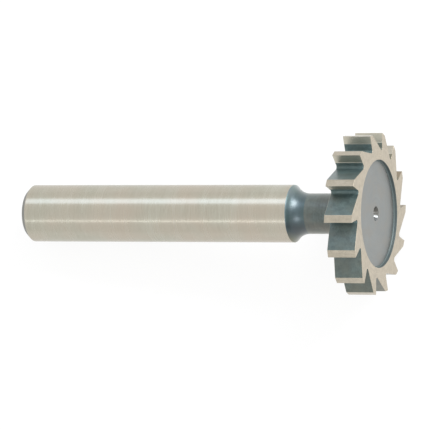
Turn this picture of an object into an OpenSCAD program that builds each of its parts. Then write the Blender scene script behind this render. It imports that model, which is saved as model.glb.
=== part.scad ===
// One-piece slot milling cutter: a toothed disc head on a necked round shank.
// It lies on its side, on two neighbouring teeth and the end of the shank.
// Units are millimetres, Z is up and the head points to +X.

/* [Head] */
// Diameter over the tooth tips
head_diameter = 28; // [24:0.5:40]
// Width of the toothed disc along the axis
head_width = 5; // [3.5:0.1:10]
// Number of teeth round the disc
tooth_count = 14; // [10:1:18]
// Depth from the tooth tips to the bottom of the gullets
tooth_depth = 3; // [2:0.1:3.6]
// Lean of the cutting face behind the radius through the tip, in degrees
rake_angle = 5; // [0:0.5:10]
// Width of the narrow ground land behind each tip
land_width = 1.3; // [0.8:0.1:1.8]
// Fall of the land behind the tip, in degrees
relief_angle = 13; // [6:0.5:18]
// Radius of the rounded gullet bottom
gullet_radius = 0.45; // [0.25:0.05:0.6]

/* [Face recesses] */
// Width of the ring left between the gullets and the recess in each side
face_ring = 1.75; // [0.8:0.05:3]
// Depth of the recess in the front face
front_recess_depth = 0.6; // [0.3:0.05:1]
// Depth of the recess round the neck
rear_recess_depth = 0.4; // [0.3:0.05:0.8]
// Radius in the corner of the recesses
recess_corner = 0.25; // [0.1:0.05:0.3]

/* [Neck] */
// Diameter of the neck behind the head
neck_diameter = 7; // [5.5:0.1:7.6]
// Length from the back of the head to the edge of the shank
neck_length = 10.5; // [7:0.1:16]
// Radius where the neck meets the head
head_fillet = 0.8; // [0.4:0.1:1.5]
// Steepest slope of the shoulder against the axis, next to the shank, in degrees
shoulder_angle = 48; // [40:1:60]
// Hollow radius that carries the shoulder down to the neck
shoulder_fillet = 3.4; // [1:0.1:4.5]
// Rounding of the edge between shank and shoulder
shoulder_edge = 0.15; // [0.1:0.05:0.5]

/* [Shank] */
// Diameter of the plain shank
shank_diameter = 10; // [9.6:0.1:13]
// Length of the plain shank with its chamfer
shank_length = 50; // [35:0.5:80]
// Chamfer on the end of the shank
shank_chamfer = 0.9; // [0.4:0.1:1.5]

/* [Centre holes] */
// Diameter of the centre hole at its mouth
centre_mouth = 2.5; // [1.8:0.1:3]
// Diameter of the small drilled hole below the cone
centre_drill = 1; // [0.6:0.1:1.4]
// Length of the drilled hole below the cone
centre_drill_length = 1; // [0.6:0.1:1.4]

/* [Hidden] */
$fn = 96;
steel = [0.74, 0.72, 0.66];

head_r = head_diameter / 2;
root_r = head_r - tooth_depth;
shank_r = shank_diameter / 2;
neck_r = neck_diameter / 2;
recess_r = root_r - face_ring;
overall_length = shank_length + neck_length + head_width;
head_back = shank_length + neck_length;
pitch = 360 / tooth_count;

// Bottom of one gullet, in the plane of the disc: a circle that touches the cutting face
// of the tooth whose tip is on the first axis, and just reaches the root diameter.
face_in = [-cos(rake_angle), -sin(rake_angle)];
face_out = [-sin(rake_angle), cos(rake_angle)];
tip = [head_r, 0];
root_reach = root_r + gullet_radius;
face_run = head_r * cos(rake_angle)
    - sqrt(root_reach * root_reach - pow(gullet_radius - head_r * sin(rake_angle), 2));
root_centre = tip + face_run * face_in + gullet_radius * face_out;
face_foot = root_centre - gullet_radius * face_out;

// The round bottom is cut a hair deeper than the flats that run into it, so no sliver is left.
root_overlap = 0.002;

// Back edge of the land of the next tooth, and the flat tooth back that runs from it to the root.
next_tip = head_r * [cos(pitch), sin(pitch)];
land_end = next_tip
    - land_width * cos(relief_angle) * [-sin(pitch), cos(pitch)]
    - land_width * sin(relief_angle) * [cos(pitch), sin(pitch)];
back_run = land_end - root_centre;
back_turn = atan2(back_run[1], back_run[0]) + acos(gullet_radius / norm(back_run));
back_foot = root_centre + gullet_radius * [cos(back_turn), sin(back_turn)];

// Shoulder between shank and neck: rounded edge, short straight slope, hollow fillet.
step = shank_r - neck_r;
hollow_r = min(shoulder_fillet, 0.95 * step / (1 - cos(shoulder_angle)) - shoulder_edge);
slope_run = (step - (shoulder_edge + hollow_r) * (1 - cos(shoulder_angle))) / sin(shoulder_angle);
edge_end = [
    shank_r - shoulder_edge + shoulder_edge * cos(shoulder_angle),
    shank_length + shoulder_edge * sin(shoulder_angle)
];
slope_end = edge_end + slope_run * [-sin(shoulder_angle), cos(shoulder_angle)];
shoulder_centre = slope_end + hollow_r * [cos(shoulder_angle), sin(shoulder_angle)];
recess_back = head_back + rear_recess_depth;
head_fillet_centre = [neck_r + head_fillet, recess_back - head_fillet];

// Centre holes: a 60 degree cone and a short drilled hole below it.
cone_depth = (centre_mouth - centre_drill) / 2 / tan(30);
centre_depth = cone_depth + centre_drill_length;

// Rest position: the cutter touches the ground with two tooth corners at the back of the disc
// and with the edge of the chamfer on the shank.
tip_drop = head_r * cos(pitch / 2);
rest_tilt = atan2(tip_drop - shank_r, head_back - shank_chamfer);
rest_height = shank_r * cos(rest_tilt) - shank_chamfer * sin(rest_tilt);
low_x = -(shank_r - shank_chamfer) * sin(rest_tilt);
high_x = tip_drop * sin(rest_tilt) + overall_length * cos(rest_tilt);
middle_x = (low_x + high_x) / 2;

// Turns a point of the disc outline to tooth number i.
function turned(p, i) = [
    p[0] * cos(i * pitch) - p[1] * sin(i * pitch),
    p[0] * sin(i * pitch) + p[1] * cos(i * pitch)
];

// Outline of the toothed disc.
module tooth_outline() {
    difference() {
        polygon([
            for (i = [0 : tooth_count - 1])
                each [
                    turned(tip, i),
                    turned(face_foot, i),
                    turned(root_centre, i),
                    turned(back_foot, i),
                    turned(land_end, i)
                ]
        ]);
        for (i = [0 : tooth_count - 1])
            translate(turned(root_centre, i))
                circle(r = gullet_radius + root_overlap);
    }
}

// Half section of one shallow recess; it opens upward.
module recess_section(depth) {
    square([recess_r - recess_corner, depth + 1]);
    translate([0, recess_corner])
        square([recess_r, depth + 1 - recess_corner]);
    translate([recess_r - recess_corner, recess_corner])
        circle(r = recess_corner);
}

// Half section of one centre hole; its mouth is at height zero.
module centre_section() {
    polygon([
        [0, 1],
        [centre_mouth / 2, 1],
        [centre_mouth / 2, 0],
        [centre_drill / 2, -cone_depth],
        [centre_drill / 2, -centre_depth],
        [0, -centre_depth - centre_drill / 2 * tan(31)]
    ]);
}

// Half section of shank, shoulder and neck.
module stem_section() {
    difference() {
        union() {
            polygon([
                [0, 0],
                [shank_r - shank_chamfer, 0],
                [shank_r, shank_chamfer],
                [shank_r, shank_length],
                edge_end,
                slope_end,
                shoulder_centre,
                [neck_r, shoulder_centre[1]],
                [neck_r, head_fillet_centre[1]],
                head_fillet_centre,
                [head_fillet_centre[0], recess_back],
                [head_fillet_centre[0], recess_back + head_fillet],
                [0, recess_back + head_fillet]
            ]);
            translate([shank_r - shoulder_edge, shank_length])
                circle(r = shoulder_edge);
        }
        translate(shoulder_centre)
            circle(r = hollow_r);
        translate(head_fillet_centre)
            circle(r = head_fillet);
    }
}

// The toothed disc with a recess in each side.
module head() {
    difference() {
        translate([0, 0, head_back])
            linear_extrude(height = head_width)
                tooth_outline();
        translate([0, 0, overall_length - front_recess_depth])
            rotate_extrude()
                recess_section(front_recess_depth);
        translate([0, 0, recess_back])
            rotate([180, 0, 0])
                rotate_extrude()
                    recess_section(rear_recess_depth);
    }
}

// The whole cutter, standing on the end of its shank.
module upright_cutter() {
    difference() {
        union() {
            rotate_extrude()
                stem_section();
            head();
        }
        translate([0, 0, overall_length - front_recess_depth])
            rotate_extrude()
                centre_section();
        rotate([180, 0, 0])
            rotate_extrude()
                centre_section();
    }
}

// The cutter as it lies on the ground.
module cutter() {
    color(steel)
        translate([-middle_x, 0, rest_height])
            rotate([0, 90 - rest_tilt, 0])
                rotate([0, 0, pitch / 2])
                    upright_cutter();
}

cutter();
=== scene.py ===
"""Looks of a one-piece slot milling cutter that lies on a pale floor."""

from math import acos, atan2, cos, pi, radians, sin, sqrt, tan
from random import Random

import bmesh
import bpy
from mathutils import Matrix, Vector


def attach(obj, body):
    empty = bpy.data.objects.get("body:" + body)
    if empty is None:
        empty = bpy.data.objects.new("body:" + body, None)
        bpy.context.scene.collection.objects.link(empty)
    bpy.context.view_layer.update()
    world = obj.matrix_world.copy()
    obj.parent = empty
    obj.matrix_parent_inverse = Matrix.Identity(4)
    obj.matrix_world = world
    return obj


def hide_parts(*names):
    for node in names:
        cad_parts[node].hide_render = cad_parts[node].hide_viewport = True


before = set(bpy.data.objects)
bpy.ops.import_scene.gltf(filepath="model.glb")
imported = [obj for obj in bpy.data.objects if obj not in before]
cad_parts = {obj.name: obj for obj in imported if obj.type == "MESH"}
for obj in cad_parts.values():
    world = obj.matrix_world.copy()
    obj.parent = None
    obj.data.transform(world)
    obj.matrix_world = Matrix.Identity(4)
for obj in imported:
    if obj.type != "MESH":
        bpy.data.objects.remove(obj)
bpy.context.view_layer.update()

MM = 0.001

# Sizes of the cutter in millimetres, in its own frame: axis along Z, shank end at zero.
HEAD_R = 14.0
HEAD_WIDTH = 5.0
TEETH = 14
TOOTH_DEPTH = 3.0
RAKE = radians(5)
LAND = 1.3
RELIEF = radians(13)
GULLET_R = 0.45
FACE_RING = 1.75
FRONT_DEPTH = 0.6
REAR_DEPTH = 0.4
RECESS_CORNER = 0.25
NECK_R = 3.5
NECK_LENGTH = 10.5
HEAD_FILLET = 0.8
SHOULDER = radians(48)
SHOULDER_FILLET = 3.4
SHOULDER_EDGE = 0.15
SHANK_R = 5.0
SHANK_LENGTH = 50.0
CHAMFER = 0.9
CENTRE_MOUTH_R = 1.25
CENTRE_DRILL_R = 0.5
CENTRE_DRILL_LENGTH = 1.0
CONE_HALF_ANGLE = radians(30)
DRILL_POINT_ANGLE = radians(31)

ROOT_R = HEAD_R - TOOTH_DEPTH
RECESS_R = ROOT_R - FACE_RING
HEAD_BACK = SHANK_LENGTH + NECK_LENGTH
LENGTH = HEAD_BACK + HEAD_WIDTH
FRONT_FLOOR = LENGTH - FRONT_DEPTH
REAR_FLOOR = HEAD_BACK + REAR_DEPTH
PITCH = 2 * pi / TEETH

# Edge breaks in millimetres, which only the looks need: on the teeth and recesses, on the chamfer of the
# shank, at the mouth of a centre hole, and between its cone and its drilled hole.
SIDE_BREAK = 0.035
TIP_ROUND = 0.055
HEEL_ROUND = 0.09
RIM_BREAK = 0.05
END_BREAK = 0.05
END_BREAK_FLAT = 0.06
END_BREAK_CROWN = 0.012
MOUTH_OUT = 0.04
MOUTH_IN = 0.02
MOUTH_DEPTH = 0.05
WAIST_OUT = 0.02
WAIST_DEPTH = 0.03
# Each cutting face is ground by itself: least and most depth, and the step left at its lower end.
GRIND_LEAST = 1.4
GRIND_MOST = 1.87
GRIND_STEP_LEAST = 0.02
GRIND_STEP_MOST = 0.09
GRIND_SEED = 27309

# Steps of the round stretches.
TURN_STEPS = TEETH * 12
TIP_STEPS = 6
HEEL_STEPS = 3
GULLET_STEPS = 12
RIM_STEPS = 6
CORNER_STEPS = 8
HOLLOW_STEPS = 14
# Extra rows of points on plain stretches, which keep the shading even: gaps from the edge beside them
# in millimetres, and the rows along the shank.
BACK_FOOT_GAP = 0.2
HEEL_GAP = 0.25
WALL_GAP = 1.0
HEAD_FILLET_GAP = 0.4
HEAD_GAP = 2.0
HOLLOW_GAP = 0.5
SHANK_GAP = 0.4
END_GAP = 0.5
FRONT_HOLE_GAP = 0.2
END_HOLE_GAP = 0.3
SHANK_ROWS = 9
SHANK_ROW_STEP = 5.0
# Edges that turn more than this look sharp.
SHARP_FROM = radians(18)
# How much more a large face counts than a small one in the shading between them.
AREA_WEIGHT = 80

# How it lies: on two tooth corners at the back of the head and the chamfer's edge on the shank.
TIP_DROP = HEAD_R * cos(PITCH / 2)
TILT = atan2(TIP_DROP - SHANK_R, HEAD_BACK - CHAMFER)
REST_HEIGHT = SHANK_R * cos(TILT) - CHAMFER * sin(TILT)
LOW_X = -(SHANK_R - CHAMFER) * sin(TILT)
HIGH_X = TIP_DROP * sin(TILT) + LENGTH * cos(TILT)
PLACE = (
    Matrix.Translation(Vector((-(LOW_X + HIGH_X) / 2, 0, REST_HEIGHT)) * MM)
    @ Matrix.Rotation(pi / 2 - TILT, 4, "Y")
    @ Matrix.Rotation(PITCH / 2, 4, "Z")
)

# Material slots of the mesh: shank, tooth sides, gullets, floor of the front recess, lands, cutting
# faces, tooth backs, shoulder, centre holes, wall of the front recess, neck and rear recess, shank end.
SHANK, FACE, OXIDE, FLOOR, LANDS, RAKES, BACKS, COLLAR, HOLE, WALL, NECK, END = range(12)


# Outlines, as pairs of a point and the slot of the wall that starts there

def polar(r, angle):
    return Vector((r * cos(angle), r * sin(angle)))


def arc(centre, r, start, end, steps):
    return [centre + polar(r, start + (end - start) * i / steps) for i in range(steps + 1)]


def rounded(before, corner, after, r, steps):
    """Points of a small round at a corner."""
    to_before = (before - corner).normalized()
    to_after = (after - corner).normalized()
    half = to_before.angle(to_after) / 2
    centre = corner + (to_before + to_after).normalized() * (r / sin(half))
    first = corner + to_before * (r / tan(half)) - centre
    last = corner + to_after * (r / tan(half)) - centre
    start = atan2(first.y, first.x)
    turn = (atan2(last.y, last.x) - start + pi) % (2 * pi) - pi
    return arc(centre, r, start, start + turn, steps)


def walls(slot, points, after=None):
    """Pairs of points and their slot; after is the slot behind the last point where it differs."""
    last = slot if after is None else after
    return [(Vector(p), slot) for p in points[:-1]] + [(Vector(points[-1]), last)]


def one_tooth(share):
    """Outline from the tip at angle zero down its cutting face, through the gullet and up to the next
    tip. The share, from 0 to 1, sets how deep the cutting face is ground."""
    face_in = Vector((-cos(RAKE), -sin(RAKE)))
    face_out = Vector((-sin(RAKE), cos(RAKE)))
    tip = Vector((HEAD_R, 0))
    reach = ROOT_R + GULLET_R
    run = HEAD_R * cos(RAKE) - sqrt(reach ** 2 - (GULLET_R - HEAD_R * sin(RAKE)) ** 2)
    root = tip + face_in * run + face_out * GULLET_R
    foot = root - face_out * GULLET_R
    along_land = Vector((-sin(PITCH), cos(PITCH)))
    next_tip = polar(HEAD_R, PITCH)
    heel = next_tip - along_land * (LAND * cos(RELIEF)) - polar(1, PITCH) * (LAND * sin(RELIEF))
    last_heel = Matrix.Rotation(-PITCH, 2) @ heel
    back = heel - root
    back_angle = atan2(back.y, back.x) + acos(GULLET_R / back.length)
    back_foot = root + polar(GULLET_R, back_angle)
    back_up = (heel - back_foot).normalized()
    face_low = tip + face_in * (GRIND_LEAST + (GRIND_MOST - GRIND_LEAST) * share)
    step = GRIND_STEP_LEAST + (GRIND_STEP_MOST - GRIND_STEP_LEAST) * share
    step_foot = face_low + face_in * step + face_out * step / 2
    foot_angle = atan2(foot.y - root.y, foot.x - root.x)
    gullet_turn = (back_angle - foot_angle + pi) % (2 * pi) - pi
    return (
        walls(LANDS, rounded(last_heel, tip, foot, TIP_ROUND, TIP_STEPS), RAKES)
        + walls(RAKES, (face_low - face_in * step, face_low))
        + walls(OXIDE, (step_foot, step_foot + face_in * step))
        + walls(OXIDE, arc(root, GULLET_R, foot_angle, foot_angle + gullet_turn, GULLET_STEPS), BACKS)
        + walls(BACKS, (back_foot + back_up * BACK_FOOT_GAP, heel - back_up * HEEL_GAP))
        + walls(LANDS, rounded(back_foot, heel, next_tip, HEEL_ROUND, HEEL_STEPS))
    )


def toothed_disc():
    """Outline of the whole disc, as its points and their slots."""
    wander = Random(GRIND_SEED)
    points = []
    slots = []
    for i in range(TEETH):
        spin = Matrix.Rotation(i * PITCH, 2)
        for p, slot in one_tooth(wander.random()):
            points.append(spin @ p)
            slots.append(slot)
    return points, slots


def inset(points, depth):
    """The disc's outline moved into the steel."""
    moved = []
    for i, p in enumerate(points):
        before = (p - points[i - 1]).normalized()
        after = (points[(i + 1) % len(points)] - p).normalized()
        inward = Vector((-before.y - after.y, before.x + after.x))
        moved.append(p + inward * (2 / inward.length_squared) * depth)
    return moved


def centre_hole(face_z, into):
    """Half section of a centre hole from its mouth to its bottom; into is the way it goes along Z."""
    cone = (CENTRE_MOUTH_R - CENTRE_DRILL_R) / tan(CONE_HALF_ANGLE)
    end = cone + CENTRE_DRILL_LENGTH
    return walls(HOLE, (
        (CENTRE_MOUTH_R + MOUTH_OUT, face_z),
        (CENTRE_MOUTH_R - MOUTH_IN, face_z + into * MOUTH_DEPTH),
        (CENTRE_DRILL_R + WAIST_OUT, face_z + into * (cone - WAIST_DEPTH)),
        (CENTRE_DRILL_R, face_z + into * (cone + WAIST_DEPTH)),
        (CENTRE_DRILL_R, face_z + into * end),
        (0, face_z + into * (end + CENTRE_DRILL_R * tan(DRILL_POINT_ANGLE))),
    ))


def recess(edge_z, floor_z, into, wall_slot, floor_slot):
    """Half section of a recess in the head, from its broken edge to a row of points on its floor."""
    rim = Vector((RECESS_R + RIM_BREAK, edge_z + into * RIM_BREAK))
    corner = Vector((RECESS_R - RECESS_CORNER, floor_z - into * RECESS_CORNER))
    quarter = -into * pi / 2
    return (
        walls(wall_slot, arc(rim, RIM_BREAK, quarter, 2 * quarter, RIM_STEPS))
        + walls(wall_slot, arc(corner, RECESS_CORNER, 0, -quarter, CORNER_STEPS), floor_slot)
        + walls(floor_slot, ((RECESS_R - WALL_GAP, floor_z),))
    )


def front_profile():
    """From the edge of the front recess to the bottom of the centre hole."""
    return (
        recess(LENGTH, FRONT_FLOOR, -1, WALL, FLOOR)
        + walls(FLOOR, ((RECESS_R / 2, FRONT_FLOOR), (CENTRE_MOUTH_R + FRONT_HOLE_GAP, FRONT_FLOOR)))
        + centre_hole(FRONT_FLOOR, -1)
    )


def neck_profile():
    """From the edge of the rear recess along neck and shoulder to the edge of the shank."""
    fillet = Vector((NECK_R + HEAD_FILLET, REAR_FLOOR - HEAD_FILLET))
    edge = Vector((SHANK_R - SHOULDER_EDGE, SHANK_LENGTH))
    rounds = SHOULDER_EDGE + SHOULDER_FILLET
    slope = (SHANK_R - NECK_R - rounds * (1 - cos(SHOULDER))) / sin(SHOULDER)
    hollow = edge + polar(rounds, SHOULDER) + polar(slope, SHOULDER + pi / 2)
    return (
        recess(HEAD_BACK, REAR_FLOOR, 1, NECK, NECK)
        + walls(NECK, ((fillet.x + HEAD_FILLET_GAP, REAR_FLOOR),))
        + walls(NECK, arc(fillet, HEAD_FILLET, pi / 2, pi, CORNER_STEPS))
        + walls(NECK, ((NECK_R, HEAD_BACK - HEAD_GAP), (NECK_R, hollow.y + HOLLOW_GAP)))
        + walls(COLLAR, arc(hollow, SHOULDER_FILLET, pi, pi + SHOULDER, HOLLOW_STEPS))
        + walls(COLLAR, arc(edge, SHOULDER_EDGE, SHOULDER, 0, RIM_STEPS), SHANK)
    )


def shank_profile():
    """From the edge of the shank to the bottom of the centre hole in its end."""
    rows = [SHANK_LENGTH - SHANK_GAP]
    rows += [SHANK_LENGTH - SHANK_ROW_STEP * i for i in range(1, SHANK_ROWS + 1)]
    rows += [CHAMFER + SHANK_GAP, CHAMFER + END_BREAK_FLAT]
    end_r = SHANK_R - CHAMFER
    return (
        walls(SHANK, [(SHANK_R, z) for z in rows])
        + walls(SHANK, ((SHANK_R - END_BREAK_CROWN, CHAMFER + END_BREAK_CROWN),))
        + walls(END, (
            (SHANK_R - END_BREAK, CHAMFER - END_BREAK),
            (end_r + END_BREAK, END_BREAK),
            (end_r - END_BREAK_FLAT, 0),
            (end_r - END_GAP, 0),
            (CENTRE_MOUTH_R + END_HOLE_GAP, 0),
        ))
        + centre_hole(0, 1)
    )


# The mesh

def layer(bm, points, z):
    """Mesh points of an outline at one height."""
    return [bm.verts.new(Vector((p.x, p.y, z)) * MM) for p in points]


def ring(bm, r, z):
    """Mesh points round the axis, or a single one on it."""
    steps = TURN_STEPS if r else 1
    return layer(bm, [polar(r, 2 * pi * i / steps) for i in range(steps)], z)


def join(bm, first, second, slots):
    """Faces between two closed rows of points, or from a row to a single point."""
    for i, slot in enumerate(slots):
        j = (i + 1) % len(slots)
        ends = second if len(second) == 1 else (second[j], second[i])
        face = bm.faces.new((first[i], first[j], *ends))
        face.material_index = slot


def revolve(bm, profile):
    """Turns a half section round the axis, and returns its first ring of points."""
    rings = [ring(bm, p.x, p.y) for p, slot in profile]
    slots = [slot for p, slot in profile]
    for slot, first, second in zip(slots, rings, rings[1:]):
        join(bm, first, second, [slot] * TURN_STEPS)
    return rings[0]


def loop_edges(bm, verts):
    return [bm.edges.get(pair) for pair in zip(verts, verts[1:] + verts[:1])]


def build_mesh():
    bm = bmesh.new()
    points, slots = toothed_disc()
    small = inset(points, SIDE_BREAK)
    broken = [FACE] * len(points)
    rear_edge = layer(bm, small, HEAD_BACK)
    rear = layer(bm, points, HEAD_BACK + SIDE_BREAK)
    front = layer(bm, points, LENGTH - SIDE_BREAK)
    front_edge = layer(bm, small, LENGTH)
    join(bm, rear_edge, rear, broken)
    join(bm, rear, front, slots)
    join(bm, front, front_edge, broken)
    flat = []
    for edge, profile in ((front_edge, front_profile()), (rear_edge, neck_profile() + shank_profile())):
        rim = revolve(bm, profile)
        edges = loop_edges(bm, edge) + loop_edges(bm, rim)
        filled = bmesh.ops.triangle_fill(bm, use_beauty=True, use_dissolve=False, edges=edges)
        flat += [item for item in filled["geom"] if isinstance(item, bmesh.types.BMFace)]
    bmesh.ops.recalc_face_normals(bm, faces=bm.faces)
    for face in bm.faces:
        face.smooth = True
    for face in flat:
        face.smooth = False
        face.material_index = FACE
    bm.transform(PLACE)
    mesh = bpy.data.meshes.new("cutter_body")
    bm.to_mesh(mesh)
    bm.free()
    mesh.set_sharp_from_angle(angle=SHARP_FROM)
    return mesh


# Materials

# Ways in which a tint fades: along the scene's Y or Z, or along the cutter's own axis.
ACROSS, UPWARD, ALONG = 1, 2, 3
# Sockets of a node that mixes colours.
MIX_FACTOR, MIX_FIRST, MIX_SECOND, MIX_RESULT = 0, 6, 7, 2
# Noise stays near the middle of its range, so these stretches of it are spread out to a full change.
TONE_SPAN = (0.35, 0.65)
CLOUD_SPAN = (0.3, 0.7)
# Tool marks are noise that changes this little along the marks.
SHANK_DRAW = 0.05
GRIND_DRAW = 0.04
TURN_DRAW = 0.03
# Heights of tool marks in metres.
GRIND_HEIGHT = 0.00002
TURN_HEIGHT = 0.00003
# How far the roughness of a surface wanders.
ROUGH_SPREAD = 0.08
# Lengths in millimetres of the painted light on the shoulder next to the shank, and of the fade, above the
# recess corner, of the painted shade on the recess wall.
PAINTED_LIGHT_BY_SHANK = 1.2
PAINTED_SHADE_FADE = 0.18
# Haze of a film.
HAZE_ROUGH = 0.4
HAZE_TINT = (0.97, 1.0, 0.88)


class Look:
    """A node material, with short ways to write it."""

    def __init__(self, name):
        self.material = bpy.data.materials.new(name)
        self.material.use_nodes = True
        self.tree = self.material.node_tree
        self.shader = self.tree.nodes["Principled BSDF"]

    def feed(self, node, values):
        """Links or sets inputs of a node; colours are given without their alpha."""
        for name, value in values.items():
            socket = node.inputs[name]
            if isinstance(value, bpy.types.NodeSocket):
                self.tree.links.new(value, socket)
            elif socket.type == "RGBA":
                socket.default_value = (*value, 1)
            else:
                socket.default_value = value

    def node(self, kind, values, **settings):
        node = self.tree.nodes.new(kind)
        for name, value in settings.items():
            setattr(node, name, value)
        self.feed(node, values)
        return node

    def shade(self, values):
        """Links or sets inputs of the shader."""
        self.feed(self.shader, values)

    def math(self, operation, a, b):
        return self.node("ShaderNodeMath", {0: a, 1: b}, operation=operation).outputs[0]

    def vector_math(self, operation, a, b):
        return self.node("ShaderNodeVectorMath", {0: a, 1: b}, operation=operation).outputs["Vector"]

    def weighed(self, *terms):
        """Sum of values, each times its weight."""
        total = 0.0
        for value, weight in terms:
            total = self.math("ADD", total, self.math("MULTIPLY", value, weight))
        return total

    def scene_place(self):
        """Place in the scene, in whose coordinates the cutter's mesh is made."""
        return self.node("ShaderNodeTexCoord", {}).outputs["Object"]

    def place(self):
        """Place on the cutter, in its own frame."""
        back = PLACE.inverted()
        return self.node("ShaderNodeMapping", {
            "Vector": self.scene_place(),
            "Location": back.to_translation(),
            "Rotation": back.to_euler("XYZ"),
        }).outputs[0]

    def parts(self, vector):
        return self.node("ShaderNodeSeparateXYZ", {0: vector}).outputs

    def vector(self, x, y, z):
        return self.node("ShaderNodeCombineXYZ", {0: x, 1: y, 2: z}).outputs[0]

    def from_axis(self, x, y):
        """Distance from the cutter's axis."""
        square = self.math("ADD", self.math("MULTIPLY", x, x), self.math("MULTIPLY", y, y))
        return self.math("POWER", square, 0.5)

    def rings(self, place, draw):
        """Place for marks that run round the axis on a flat face: along them it changes little."""
        x, y = self.parts(place)[:2]
        return self.vector_math("MULTIPLY", self.vector(self.from_axis(x, y), x, y), (1, draw, draw))

    def noise(self, vector, scale, detail, rough):
        return self.node("ShaderNodeTexNoise", {
            "Vector": vector, "Scale": scale, "Detail": detail, "Roughness": rough,
        }).outputs[0]

    def ramp(self, value, span, result=(0, 1)):
        """Value that goes evenly from the first to the second result while the other goes over a span."""
        inputs = dict(enumerate((value, *span, *result)))
        return self.node("ShaderNodeMapRange", inputs).outputs[0]

    def mix(self, factor, first, second, blend="MIX"):
        inputs = {MIX_FACTOR: factor, MIX_FIRST: first, MIX_SECOND: second}
        return self.node("ShaderNodeMix", inputs, data_type="RGBA", blend_type=blend).outputs[MIX_RESULT]

    def painted_light_or_tint(self, colour, tint, way, full, none):
        """A colour multiplied by a tint that fades out between two places in millimetres; most tints are
        painted light or shade.
        """
        if way == ALONG:
            where = self.parts(self.place())[2]
        else:
            where = self.parts(self.scene_place())[way]
        strength = self.ramp(where, span=(full * MM, none * MM), result=(1, 0))
        return self.mix(strength, colour, tint, "MULTIPLY")

    def bump(self, height, strength, distance):
        inputs = {"Height": height, "Strength": strength, "Distance": distance}
        self.shade({"Normal": self.node("ShaderNodeBump", inputs).outputs[0]})

    def film(self, rough, bend, haze):
        """A thin clear film, as of oil, with a faint haze that shows at its edges."""
        self.shade({
            "Coat Weight": 1.0,
            "Coat Roughness": rough,
            "Coat IOR": bend,
            "Sheen Weight": haze,
            "Sheen Roughness": HAZE_ROUGH,
            "Sheen Tint": HAZE_TINT,
        })

    def grain(self, amount, turn):
        """Gloss drawn out across the grinding marks, which run round the axis."""
        spoke = self.vector_math("SUBTRACT", self.scene_place(), PLACE.to_translation())
        tangent = self.vector_math("CROSS_PRODUCT", PLACE.to_3x3().col[2], spoke)
        self.shade({"Tangent": tangent, "Anisotropic": amount, "Anisotropic Rotation": turn})


def shank_material():
    """Ground shank: fine marks round the axis, and a slow drift of its hue."""
    look = Look("ground_shank")
    place = look.place()
    drawn = look.vector_math("MULTIPLY", place, (SHANK_DRAW, SHANK_DRAW, 1))
    lines = look.noise(drawn, scale=14000, detail=2.0, rough=0.6)
    bands = look.noise(drawn, scale=900, detail=3.0, rough=0.5)
    cloud = look.noise(place, scale=120, detail=3.0, rough=0.55)
    drift = look.noise(place, scale=110, detail=2.0, rough=0.5)
    tone = look.weighed((lines, 0.45), (bands, 0.3), (cloud, 0.25))
    colour = look.mix(look.ramp(tone, TONE_SPAN), (0.41, 0.394, 0.32), (0.51, 0.498, 0.427))
    colour = look.mix(look.ramp(drift, span=(0.38, 0.62), result=(0, 0.7)), colour, (0.488, 0.43, 0.355))
    rough = look.ramp(bands, CLOUD_SPAN, result=(0.262, 0.278))
    look.shade({"Base Color": colour, "Metallic": 1.0, "Roughness": rough})
    look.grain(amount=0.75, turn=0.25)
    look.bump(lines, strength=0.02, distance=GRIND_HEIGHT)
    return look.material


def face_material(name, low, high, rough, marks_round, painted_light_and_tints=()):
    """Bright ground steel of the tooth sides, where the marks run round the axis, or of the lands and
    cutting faces, where they run along it."""
    look = Look(name)
    place = look.place()
    if marks_round:
        drawn = look.rings(place, GRIND_DRAW)
    else:
        drawn = look.vector_math("MULTIPLY", place, (1, 1, GRIND_DRAW))
    marks = look.noise(drawn, scale=9000, detail=2.0, rough=0.6)
    cloud = look.noise(place, scale=260, detail=3.0, rough=0.55)
    speck = look.noise(place, scale=1300, detail=2.0, rough=0.6)
    tone = look.weighed((marks, 0.4), (speck, 0.4), (cloud, 0.2))
    colour = look.mix(look.ramp(tone, TONE_SPAN), low, high)
    for light_or_tint in painted_light_and_tints:
        colour = look.painted_light_or_tint(colour, **light_or_tint)
    roughness = look.ramp(cloud, CLOUD_SPAN, result=(rough, rough + ROUGH_SPREAD))
    look.shade({"Base Color": colour, "Metallic": 1.0, "Roughness": roughness})
    look.bump(marks, strength=0.1, distance=GRIND_HEIGHT)
    return look.material


def oxide_material(name, low, high, drifted, rough, bump, metallic, film=None, painted_light_and_tints=()):
    """Dark oxide left on the turned and milled surfaces, with a faint drift of its hue."""
    look = Look(name)
    place = look.place()
    x, y, z = look.parts(place)
    drawn = look.vector_math("MULTIPLY", look.vector(look.from_axis(x, y), x, z), (1, TURN_DRAW, 1))
    marks = look.noise(drawn, scale=5000, detail=2.0, rough=0.6)
    cloud = look.noise(place, scale=420, detail=4.0, rough=0.6)
    drift = look.noise(place, scale=450, detail=2.0, rough=0.5)
    speck = look.noise(place, scale=1300, detail=2.0, rough=0.6)
    tone = look.weighed((marks, 0.3), (speck, 0.4), (cloud, 0.3))
    colour = look.mix(look.ramp(tone, TONE_SPAN), low, high)
    colour = look.mix(look.ramp(drift, span=(0.4, 0.7), result=(0, 0.6)), colour, drifted)
    for light_or_tint in painted_light_and_tints:
        colour = look.painted_light_or_tint(colour, **light_or_tint)
    roughness = look.ramp(cloud, CLOUD_SPAN, result=(rough, rough + ROUGH_SPREAD))
    look.shade({"Base Color": colour, "Metallic": metallic, "Roughness": roughness})
    look.bump(tone, strength=bump, distance=TURN_HEIGHT)
    if film:
        look.film(**film)
    return look.material


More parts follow.
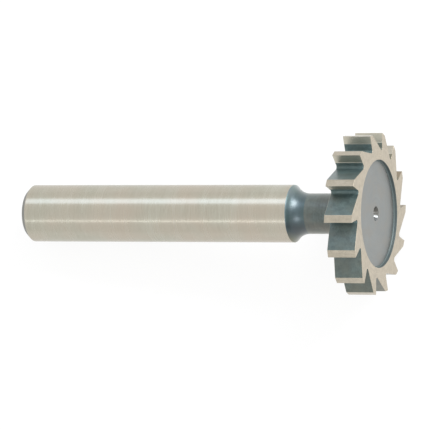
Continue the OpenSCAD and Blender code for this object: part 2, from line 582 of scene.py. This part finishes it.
def floor_material():
    """Turned floor of the front recess."""
    look = Look("recess_floor")
    place = look.place()
    marks = look.noise(look.rings(place, TURN_DRAW), scale=4000, detail=2.0, rough=0.6)
    cloud = look.noise(place, scale=300, detail=4.0, rough=0.6)
    drift = look.noise(place, scale=450, detail=2.0, rough=0.5)
    tone = look.weighed((marks, 0.3), (cloud, 0.7))
    colour = look.mix(look.ramp(tone, TONE_SPAN), (0.262, 0.276, 0.271), (0.307, 0.321, 0.315))
    colour = look.mix(look.ramp(drift, span=(0.4, 0.65), result=(0, 0.7)), colour, (0.298, 0.294, 0.272))
    rough = look.ramp(cloud, CLOUD_SPAN, result=(0.42, 0.52))
    look.shade({"Base Color": colour, "Metallic": 1.0, "Roughness": rough})
    look.bump(marks, strength=0.06, distance=TURN_HEIGHT)
    return look.material


# Each finish; the places of its tints are in millimetres. Most tints are painted light or shade, as marked
# at each.
finishes = {
    SHANK: shank_material(),
    FACE: face_material(
        "ground_sides",
        low=(0.42, 0.37, 0.287),
        high=(0.58, 0.515, 0.405),
        rough=0.3,
        marks_round=True,
    ),
    OXIDE: oxide_material(
        "dark_oxide",
        low=(0.057, 0.095, 0.098),
        high=(0.14, 0.199, 0.197),
        drifted=(0.11, 0.145, 0.131),
        rough=0.5,
        bump=0.3,
        metallic=0.45,
        # Lighter and warmer lower down, towards the floor.
        painted_light_and_tints=[dict(tint=(1.65, 1.12, 0.86), way=UPWARD, full=10.5, none=19.5)],
    ),
    FLOOR: floor_material(),
    LANDS: face_material(
        "ground_lands",
        low=(0.395, 0.36, 0.292),
        high=(0.525, 0.475, 0.388),
        rough=0.1,
        marks_round=False,
    ),
    RAKES: face_material(
        "ground_cutting_faces",
        low=(0.51, 0.485, 0.4),
        high=(0.6, 0.57, 0.475),
        rough=0.35,
        marks_round=False,
        # Painted shade: the cutting faces nearest the floor are darker and browner, which damps a highlight
        # on them.
        painted_light_and_tints=[dict(tint=(0.55, 0.487, 0.434), way=UPWARD, full=7, none=11)],
    ),
    BACKS: oxide_material(
        "oxide_tooth_backs",
        low=(0.029, 0.053, 0.055),
        high=(0.087, 0.133, 0.132),
        drifted=(0.072, 0.09, 0.074),
        rough=0.42,
        bump=0.3,
        metallic=0.45,
        film=dict(rough=0.3, bend=1.5, haze=0.0),
        painted_light_and_tints=[
            # Lighter and warmer lower down, towards the floor.
            dict(tint=(1.75, 1.28, 1.05), way=UPWARD, full=9, none=18),
            # Less blue towards -Y.
            dict(tint=(1.0, 0.91, 0.8), way=ACROSS, full=-13, none=-4.5),
        ],
    ),
    COLLAR: oxide_material(
        "oxide_shoulder",
        low=(0.01, 0.039, 0.05),
        high=(0.026, 0.061, 0.072),
        drifted=(0.015, 0.056, 0.054),
        rough=0.38,
        bump=0.06,
        metallic=0.7,
        film=dict(rough=0.34, bend=1.66, haze=0.25),
        painted_light_and_tints=[
            # Painted shade: darker and bluer on the shoulder's side towards -Y.
            dict(tint=(0.2, 0.37, 0.42), way=ACROSS, full=-2.8, none=-1.6),
            # Painted reflection: a warm, lighter edge further round towards -Y.
            dict(tint=(7.0, 2.1, 0.5), way=ACROSS, full=-5.0, none=-3.4),
            # Painted light: lighter on the shoulder's side towards +Y.
            dict(tint=(1.3, 1.15, 1.05), way=ACROSS, full=3.5, none=1.8),
            # Painted light: lighter next to the shank, where the shoulder mirrors the dark back of the
            # head.
            dict(tint=(4.6, 2.7, 2.6), way=ALONG, full=SHANK_LENGTH, none=SHANK_LENGTH + PAINTED_LIGHT_BY_SHANK),
        ],
    ),
    HOLE: oxide_material(
        "centre_hole",
        low=(0.17, 0.17, 0.158),
        high=(0.22, 0.22, 0.205),
        drifted=(0.19, 0.195, 0.18),
        rough=0.26,
        bump=0.02,
        metallic=1.0,
        painted_light_and_tints=[
            # Painted shade: darker on the side of the hole towards +Y.
            dict(tint=(0.66, 0.65, 0.64), way=ACROSS, full=0.4, none=0.1),
            # Painted shade: a dimmer middle, which damps the highlight there.
            dict(tint=(0.64, 0.66, 0.7), way=ACROSS, full=-0.2, none=0.0),
            # Painted light: much lighter on the side towards -Y.
            dict(tint=(2.4, 2.4, 2.5), way=ACROSS, full=-1.1, none=-0.6),
        ],
    ),
    WALL: oxide_material(
        "recess_wall",
        low=(0.104, 0.138, 0.138),
        high=(0.15, 0.18, 0.176),
        drifted=(0.132, 0.159, 0.15),
        rough=0.5,
        bump=0.2,
        metallic=0.45,
        painted_light_and_tints=[
            # Painted shade: the wall is darker from just above the corner up to the rim.
            dict(tint=(0.66, 0.68, 0.7), way=ALONG, full=FRONT_FLOOR + PAINTED_SHADE_FADE, none=FRONT_FLOOR),
        ],
    ),
    NECK: oxide_material(
        "oxide_neck",
        low=(0.001, 0.016, 0.012),
        high=(0.066, 0.104, 0.094),
        drifted=(0.054, 0.059, 0.043),
        rough=0.5,
        bump=0.25,
        metallic=0.45,
        film=dict(rough=0.38, bend=1.7, haze=0.35),
        # Painted reflection: the neck is lighter and warmer on its side towards -Y.
        painted_light_and_tints=[dict(tint=(1.5, 1.05, 0.85), way=ACROSS, full=-3.2, none=-1.2)],
    ),
    END: oxide_material(
        "turned_end",
        low=(0.17, 0.17, 0.155),
        high=(0.235, 0.23, 0.21),
        drifted=(0.2, 0.2, 0.185),
        rough=0.42,
        bump=0.2,
        metallic=0.6,
    ),
}

# The cutter

body = bpy.data.objects.new("cutter_body", build_mesh())
bpy.context.scene.collection.objects.link(body)
for slot in sorted(finishes):
    body.data.materials.append(finishes[slot])
weighted = body.modifiers.new("even_shading", "WEIGHTED_NORMAL")
weighted.mode = "FACE_AREA"
weighted.weight = AREA_WEIGHT
weighted.keep_sharp = True
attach(body, "root")
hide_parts("cutter")

# Camera

# What the picture shows: its size and the focal length in pixels, the place of the head's front face and
# the pixels to a millimetre there, how the tool's axis turns towards the viewer and falls, and the angle of
# one tooth tip, up from the way to the camera.
IMAGE_PX = 430
FOCAL_PX = 4000.0
FACE_X_PX = 379.30
FACE_Y_PX = 213.73
PX_PER_MM = 5.8318
AXIS_TURN = radians(21.84)
AXIS_FALL = radians(0.083)
TIP_ANGLE = radians(-6.38)
# The head stands on two tips, and the middle between them is this many pitches on from that tip.
PITCHES_DOWN = 6.5
DOWN_ANGLE = TIP_ANGLE - PITCH * PITCHES_DOWN
SENSOR_MM = 36.0
CLIP_NEAR = 0.01
CLIP_FAR = 20

# The tool's axis, the way to the camera and the picture's up, in camera terms (right, down, ahead).
axis_c = Vector((cos(AXIS_TURN) * cos(AXIS_FALL), sin(AXIS_FALL), -sin(AXIS_TURN) * cos(AXIS_FALL)))
near_c = Vector((-sin(AXIS_TURN), 0, -cos(AXIS_TURN)))
near_c = (near_c - axis_c * axis_c.dot(near_c)).normalized()
up_c = -axis_c.cross(near_c)
# The axis in the scene, with the ways down and to the side across it.
axis_w = Vector((cos(TILT), 0, sin(TILT)))
down_w = Vector((sin(TILT), 0, -cos(TILT)))
side_w = Vector((0, 1, 0))


def round_axis(angle):
    """Direction across the axis, at an angle from the way to the camera towards the picture's up."""
    from_down = DOWN_ANGLE - angle
    return down_w * cos(from_down) + side_w * sin(from_down)


# The camera's own ways in the scene, and its place.
in_scene = Matrix((axis_w, round_axis(0), round_axis(pi / 2)))
in_camera = Matrix((axis_c, near_c, up_c))
right, down, ahead = (in_scene.transposed() @ in_camera).col
face_centre = PLACE @ Vector((0, 0, LENGTH * MM))
off_x = (FACE_X_PX - IMAGE_PX / 2) / PX_PER_MM
off_y = (FACE_Y_PX - IMAGE_PX / 2) / PX_PER_MM
eye = face_centre - (right * off_x + down * off_y + ahead * FOCAL_PX / PX_PER_MM) * MM

camera_data = bpy.data.cameras.new("camera")
camera_data.sensor_width = SENSOR_MM
camera_data.lens = SENSOR_MM * FOCAL_PX / IMAGE_PX
camera_data.clip_start = CLIP_NEAR
camera_data.clip_end = CLIP_FAR
camera = bpy.data.objects.new("camera", camera_data)
bpy.context.scene.collection.objects.link(camera)
camera.matrix_world = Matrix.Translation(eye) @ Matrix((right, -down, -ahead)).transposed().to_4x4()
bpy.context.scene.camera = camera

# Floor and light, in metres

FLOOR_HALF = 1.5
LIGHT_DISTANCE = 0.6

paper = Look("floor_paper")
paper.shade({
    "Base Color": (0.12, 0.12, 0.119),
    "Roughness": 0.9,
    "Specular IOR Level": 0.0,
    "Emission Color": (1, 1, 1),
    "Emission Strength": 0.865,
})
floor_mesh = bpy.data.meshes.new("floor")
corners = [(x * FLOOR_HALF, y * FLOOR_HALF, 0) for x, y in ((-1, -1), (1, -1), (1, 1), (-1, 1))]
floor_mesh.from_pydata(corners, [], [(0, 1, 2, 3)])
floor_mesh.materials.append(paper.material)
floor = bpy.data.objects.new("floor", floor_mesh)
bpy.context.scene.collection.objects.link(floor)

world = bpy.data.worlds.new("studio")
bpy.context.scene.world = world
world.use_nodes = True
background = world.node_tree.nodes["Background"]
background.inputs["Color"].default_value = (1.0, 0.995, 0.985, 1)
background.inputs["Strength"].default_value = 1.0


def soft_light(name, angle, lean, length, width, radiance, colour, shape="RECTANGLE"):
    """A soft light with its length along the cutter, in metres. Its angle round the axis, from the way to
    the camera, and its lean towards the head are in degrees."""
    data = bpy.data.lights.new(name, "AREA")
    data.shape = shape
    data.size = length
    data.size_y = width
    data.energy = radiance * pi * length * width
    data.color = colour
    lamp = bpy.data.objects.new(name, data)
    bpy.context.scene.collection.objects.link(lamp)
    away = round_axis(radians(angle)) * cos(radians(lean)) + axis_w * sin(radians(lean))
    along = (axis_w - away * axis_w.dot(away)).normalized()
    place = PLACE @ Vector((0, 0, LENGTH / 2 * MM)) + away * LIGHT_DISTANCE
    turn = Matrix((along, away.cross(along), away)).transposed()
    lamp.matrix_world = Matrix.Translation(place) @ turn.to_4x4()


soft_light(
    "upper_strip", angle=50.4, lean=0, length=1.0, width=0.215, radiance=0.84, colour=(0.83, 1.0, 1.3)
)
soft_light(
    "lower_strip", angle=-31.6, lean=0, length=1.0, width=0.03, radiance=1.65, colour=(0.95, 1.0, 1.06)
)
soft_light(
    "upper_lamp", angle=57, lean=38, length=0.34, width=0.27, radiance=12.0, colour=(1.0, 1.0, 1.03),
    shape="ELLIPSE",
)
soft_light(
    "lower_lamp", angle=-28.5, lean=22, length=0.28, width=0.05, radiance=13.0, colour=(1.02, 1.0, 1.05)
)

bpy.context.scene.view_settings.view_transform = "Standard"
